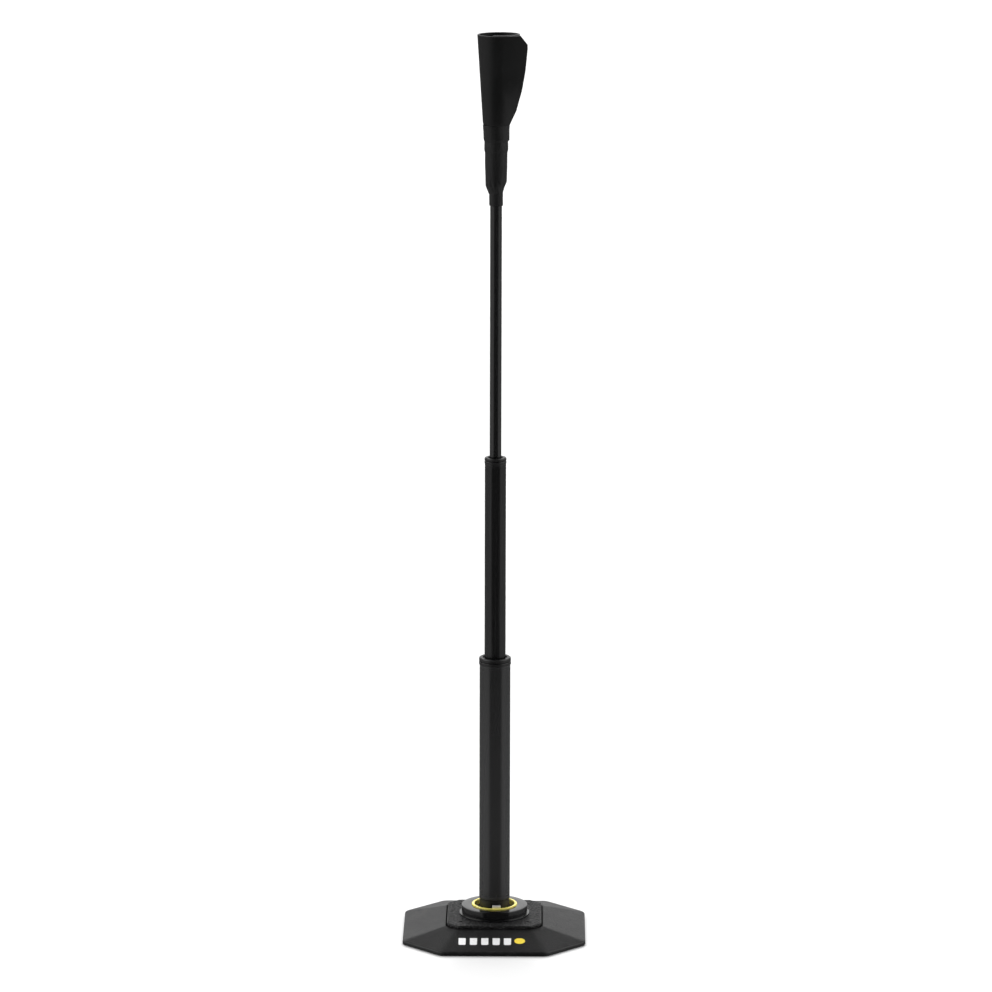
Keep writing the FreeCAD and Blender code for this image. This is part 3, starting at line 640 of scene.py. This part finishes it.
def printed_patch(name, shape, width, tall, corner, ink):
    """One thin rounded patch of ink, laid on the front facet."""
    bm = bmesh.new()
    bmesh.ops.create_grid(
        bm, x_segments=1, y_segments=1, size=0.5,
        matrix=shape @ Matrix.Diagonal((width, tall, 1, 1)))
    bmesh.ops.bevel(
        bm, geom=bm.verts[:], affect="VERTICES", offset=corner, segments=6, profile=0.5,
        material=-1)
    raised = bmesh.ops.extrude_face_region(bm, geom=bm.faces[:])
    upper = [part for part in raised["geom"] if isinstance(part, bmesh.types.BMVert)]
    bmesh.ops.translate(bm, verts=upper, vec=shape.to_3x3() @ Vector((0, 0, PRINT_DEPTH)))
    finish_piece(bm, name, "base_cover", ink)


def make_print():
    """A row of plain white bars and a yellow dot on the front facet."""
    run = BASE_HALF - PLATE_HALF - PLATE_GAP
    slope = math.atan2(PLATEAU - RIM_HEIGHT, run)
    middle = run * 0.50
    height = RIM_HEIGHT + middle * math.tan(slope)
    on_facet = Matrix.Translation((0, -BASE_HALF + middle, height)) @ Matrix.Rotation(slope, 4, "X")
    white = print_ink("white_ink", (0.86, 0.86, 0.86))
    yellow = print_ink("yellow_ink", (0.86, 0.66, 0.05))
    tall = 19 * MM
    for index in range(5):
        shape = on_facet @ Matrix.Translation(((-38 + index * 13.6) * MM, 0, 0.05 * MM))
        printed_patch("bar_%d" % index, shape, 8.6 * MM, tall, 2.0 * MM, white)
    dot = 13 * MM
    shape = on_facet @ Matrix.Translation((31 * MM, 0, 0.05 * MM))
    printed_patch("dot", shape, dot, dot, dot * 0.49, yellow)


# ------------------------------------------------------------------ stem

def make_tube(name, node, bore):
    radius = reach(node)
    edge = 0.45 * MM
    turned_piece(name, node, [
        (bore, low(node).z, edge), (radius, low(node).z, edge),
        (radius, high(node).z, edge), (bore, high(node).z, edge),
    ])


# ------------------------------------------------------------------ ball rest

CONE_LEAN = 0.0239
WALL = 2.6 * MM
MOUTH_RADIUS = 26.5 * MM
MOUTH_FALL = 1.7 * MM        # the mouth's back edge stands this much lower than its front
CONE_SLOPE = 0.0875
FIRST_TURN = -107.0          # degrees round the cone, from +X towards +Y
OVERLAP = FIRST_TURN + 360.0


def middle_of_cone(height):
    return (height - SLEEVE_TOP) * CONE_LEAN


def outside_of_cone(height):
    """Outer radius of the first turn. The sleeve pinches it below its own top edge."""
    free = MOUTH_RADIUS - (MOUTH - height) * CONE_SLOPE
    pinched = 15.0 * MM + (height - SLEEVE_TOP) * 0.035
    share = min(1.0, max(0.0, (height - SLEEVE_TOP + 1.2 * MM) / (3.0 * MM)))
    share = share * share * (3 - 2 * share)
    return pinched + (free - pinched) * share


def between(points, height):
    """Reads a value off a short list of (height, value) points."""
    for (low_height, low_value), (high_height, high_value) in zip(points, points[1:]):
        if height <= high_height:
            share = max(0.0, (height - low_height) / (high_height - low_height))
            return low_value + (high_value - low_value) * share
    return points[-1][1]


FIN_EDGE = [
    (985.5 * MM, 16.6 * MM), (1002 * MM, 24.8 * MM), (1026 * MM, 31.1 * MM),
    (1050 * MM, 35.3 * MM), (1077 * MM, 37.9 * MM), (1082 * MM, 37.7 * MM), (1093 * MM, 29.4 * MM),
]


def eased(value, start, end):
    share = min(1.0, max(0.0, (value - start) / (end - start)))
    return share * share * (3 - 2 * share)


def on_the_roll(across, up):
    """Where a point of the flat sheet lies once rolled.

    across runs from the inner end (0) to the loose outer end (1), up from foot to mouth.
    """
    leaves = 0.78
    facing = math.radians(FIRST_TURN + 360 * min(1.0, across / leaves))
    top = MOUTH - 0.3 * MM - MOUTH_FALL * (1 + math.sin(facing)) / 2
    top -= 0.8 * MM * eased(across, 0.5, leaves)
    height = CONE_FOOT + (top - CONE_FOOT) * up
    departure = 287.0 + 42.0 * (1 - eased(height, 988 * MM, 1040 * MM))
    turn_angle = FIRST_TURN + (departure - FIRST_TURN) * min(1.0, across / leaves)
    tucked = -1.35 * MM * (1 - eased(turn_angle, FIRST_TURN, -35.0))
    pushed = 1.45 * MM * eased(turn_angle, 200.0, OVERLAP + 6.0)
    pinch = 0.55 + 0.45 * eased(height, 980 * MM, 992 * MM)
    radius = outside_of_cone(height) - WALL / 2 + (tucked + pushed) * pinch
    angle = math.radians(turn_angle)
    outward = Vector((math.cos(angle), math.sin(angle), 0))
    point = Vector((middle_of_cone(height), 0, height)) + outward * radius
    if across <= leaves:
        return point
    along = Vector((-outward.y, outward.x, 0))
    curl = 1 / (400 * MM)
    want = max(0.5 * MM, between(FIN_EDGE, height) - WALL * 0.35 - point.x)
    bend = -outward.x * curl
    distance = want / along.x
    if abs(bend) > 1e-9:
        root = math.sqrt(max(0.0, along.x ** 2 + 4 * bend * want))
        distance = (root - along.x) / (2 * bend)
    distance *= (across - leaves) / (1 - leaves)
    return point + along * distance - outward * curl * distance ** 2


def make_cup_sheet():
    """A flat sheet rolled into a leaning cone, its outer end left loose as a fin."""
    bm = bmesh.new()
    bmesh.ops.create_grid(bm, x_segments=220, y_segments=70, size=0.5)
    for vertex in bm.verts:
        across = vertex.co.x + 0.5
        up = vertex.co.y + 0.5
        vertex.co = on_the_roll(across, up)
    bmesh.ops.recalc_face_normals(bm, faces=bm.faces)
    bmesh.ops.solidify(bm, geom=list(bm.faces), thickness=WALL)
    rim_edges = [edge for edge in bm.edges if edge.calc_face_angle(0.0) > math.radians(60)]
    bmesh.ops.bevel(
        bm, geom=rim_edges, affect="EDGES", offset=0.55 * MM, segments=3, profile=0.5, material=-1)
    sheet = finish_piece(bm, "rolled_sheet", "cup_sheet", sharp=60.0)
    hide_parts("cup_sheet")


def make_sleeve():
    """Shrunk sleeve: it shows the clamp and the foot of the cone, and puckers at its shoulder."""
    wall = 0.85 * MM
    tail = 7.25 * MM
    outline = [
        (tail, 889.5, 0.3), (tail + wall, 889.5, 0.4), (tail + wall + 0.1 * MM, 904.5, 6),
        (12.5 * MM, 915.5, 8), (13.2 * MM, 935, 40), (13.3 * MM, 952.6, 2.5),
        (14.15 * MM, 956, 1.6), (14.15 * MM, 962, 1.8), (13.95 * MM, 965.4, 1.6),
        (15.15 * MM, 969, 2.2), (15.5 * MM, 978, 20), (16.0 * MM, 985.5, 0.5),
        (15.3 * MM, 985.5, 0.3), (14.6 * MM, 969.5, 1), (13.35 * MM, 965.0, 1),
        (13.35 * MM, 955.0, 1), (12.5 * MM, 952, 1), (12.4 * MM, 921, 3), (tail + 0.7 * MM, 904, 2),
        (tail, 902, 1),
    ]
    bm = turn([(radius, height * MM, corner * MM) for radius, height, corner in outline], 128)
    long_edges = [
        edge for edge in bm.edges if abs(edge.verts[0].co.z - edge.verts[1].co.z) > 3 * MM
    ]
    bmesh.ops.subdivide_edges(bm, edges=long_edges, cuts=5, use_grid_fill=True)
    for vertex in bm.verts:
        pucker(vertex)
    sleeve = finish_piece(bm, "sleeve", "shrink_sleeve", sharp=60.0)
    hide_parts("shrink_sleeve")


def pucker(vertex):
    """Pulls one point of the sleeve out of round, as heat leaves it."""
    place = vertex.co
    around = math.atan2(place.y, place.x)
    outward = Vector((math.cos(around), math.sin(around), 0))
    shoulder = eased(place.z, 900 * MM, 908 * MM) * (1 - eased(place.z, 920 * MM, 930 * MM))
    folds = math.sin(around * 11 + 1.3) * 0.5 + math.sin(around * 17 + place.z * 420) * 0.5
    lumps = noise.noise(Vector((outward.x, outward.y, place.z * 40)) * 1.6)
    upper = eased(place.z, 950 * MM, 962 * MM)
    drift = shoulder * folds * 0.24 + lumps * (0.16 + 0.14 * upper)
    vertex.co += outward * drift * MM
    vertex.co.z += shoulder * outward.x * 2.4 * MM


make_base_cover()
make_base_pad()
make_socket_plate()
make_socket()
make_print()
make_tube("lower_stem_tube", "lower_tube", 17.0 * MM)
make_tube("mid_stem_tube", "mid_tube", 11.5 * MM)
make_tube("rod_tube", "rod", 5.6 * MM)
make_cup_sheet()
make_sleeve()

for node, thing in frame["nodes"].items():
    thing.data.materials.clear()
    thing.data.materials.append(PAINTED.get(node) or FINISHES[SLOT_OF[node]])


# ------------------------------------------------------------------ studio

FLOOR_PAINT = 0.605


def make_floor():
    """A wide pale floor, a little over-exposed to the camera as a studio sweep is."""
    bm = bmesh.new()
    bmesh.ops.create_circle(bm, cap_ends=True, segments=96, radius=30.0)
    mesh = bpy.data.meshes.new("floor")
    bm.to_mesh(mesh)
    bm.free()
    floor = bpy.data.objects.new("floor", mesh)
    bpy.context.scene.collection.objects.link(floor)
    finish = Finish("floor")
    path = finish.node("ShaderNodeLightPath")
    seen = Level(finish, path.outputs["Is Camera Ray"])
    glow = finish.node("ShaderNodeEmission", None, {"Color": (1, 1, 1, 1), "Strength": seen * 0.08})
    paint = finish.node("ShaderNodeBsdfDiffuse", None, {
        "Color": finish.mix(seen, (0.75, 0.75, 0.75), (FLOOR_PAINT, FLOOR_PAINT, FLOOR_PAINT))})
    both = finish.node("ShaderNodeAddShader")
    finish.tree.links.new(glow.outputs[0], both.inputs[0])
    finish.tree.links.new(paint.outputs[0], both.inputs[1])
    output = finish.node("ShaderNodeOutputMaterial")
    finish.tree.links.new(both.outputs[0], output.inputs["Surface"])
    mesh.materials.append(finish.material)
    floor.visible_glossy = False


class Sky(Finish):
    """The studio around the object, as light by direction."""

    def __init__(self):
        world = bpy.data.worlds.new("studio")
        world.use_nodes = True
        bpy.context.scene.world = world
        self.tree = world.node_tree
        self.tree.nodes.clear()
        self.place = Level(self, self.node("ShaderNodeTexCoord").outputs["Generated"])


def make_world():
    """A dark front, soft panels and brighter high ones at the sides, a bright low band behind."""
    side_strength = 0.55
    key_strength = 2.2
    band_strength = 1.5
    fill = 0.05
    sky = Sky()
    up = sky.along("Z")
    level_way = sky.node(
        "ShaderNodeVectorMath", {"operation": "NORMALIZE"}, {0: sky.stretched((1.0, 1.0, 0.0))})
    sky.place = Level(sky, level_way.outputs["Vector"])
    right = sky.along("X")
    back = sky.along("Y")
    panel = (back - right * 0.10).above(-0.74, -0.66)
    behind = back.above(0.82, 0.92)
    fade = 1.0 - back.above(-0.5, 0.9) * 0.68
    tall = 1.0 - up.above(0.55, 0.9) * 0.75
    low_band = up.above(-0.10, 0.02) * (1.0 - up.above(0.20, 0.66) * 0.97)
    side = panel * (1.0 - behind * 0.6) * fade * tall * side_strength
    across = 1.0 - (back * back).above(0.20, 0.45)
    key = up.above(0.08, 0.32) * (1.0 - up.above(0.80, 0.94)) * across * key_strength
    light = side + key + behind * low_band * band_strength + fill
    path = sky.node("ShaderNodeLightPath")
    seen = light.maths("MAXIMUM", light, Level(sky, path.outputs["Is Camera Ray"]))
    glow = sky.node("ShaderNodeBackground", None, {"Strength": seen})
    output = sky.node("ShaderNodeOutputWorld")
    sky.tree.links.new(glow.outputs[0], output.inputs["Surface"])


def make_camera():
    """A long lens a little above the ball rest, looking slightly down."""
    distance = 6.2
    eye_height = 1.858
    swing = math.radians(0.46)
    pitch = math.radians(12.01)
    roll = math.radians(0.134)
    camera_data = bpy.data.cameras.new("camera")
    camera_data.sensor_width = 36.0
    camera_data.lens = 192.7
    camera_data.shift_x = 0.0006
    camera_data.clip_end = 100.0
    camera = bpy.data.objects.new("camera", camera_data)
    bpy.context.scene.collection.objects.link(camera)
    eye = (distance * math.sin(swing), -distance * math.cos(swing), eye_height)
    place = Matrix.Translation(eye)
    turned = Matrix.Rotation(swing, 4, "Z") @ Matrix.Rotation(math.pi / 2 - pitch, 4, "X")
    camera.matrix_world = place @ turned @ Matrix.Rotation(roll, 4, "Z")
    bpy.context.scene.camera = camera


def make_rear_light():
    """A broad soft light from above and behind, kept out of the highlights."""
    light = bpy.data.lights.new("rear_light", "SUN")
    light.energy = 6.4
    light.angle = math.radians(45)
    lamp = bpy.data.objects.new("rear_light", light)
    lamp.rotation_euler = (math.radians(-57), 0, 0)
    lamp.visible_glossy = False
    bpy.context.scene.collection.objects.link(lamp)


make_floor()
make_world()
make_rear_light()
make_camera()
bpy.context.scene.view_settings.view_transform = "Standard"
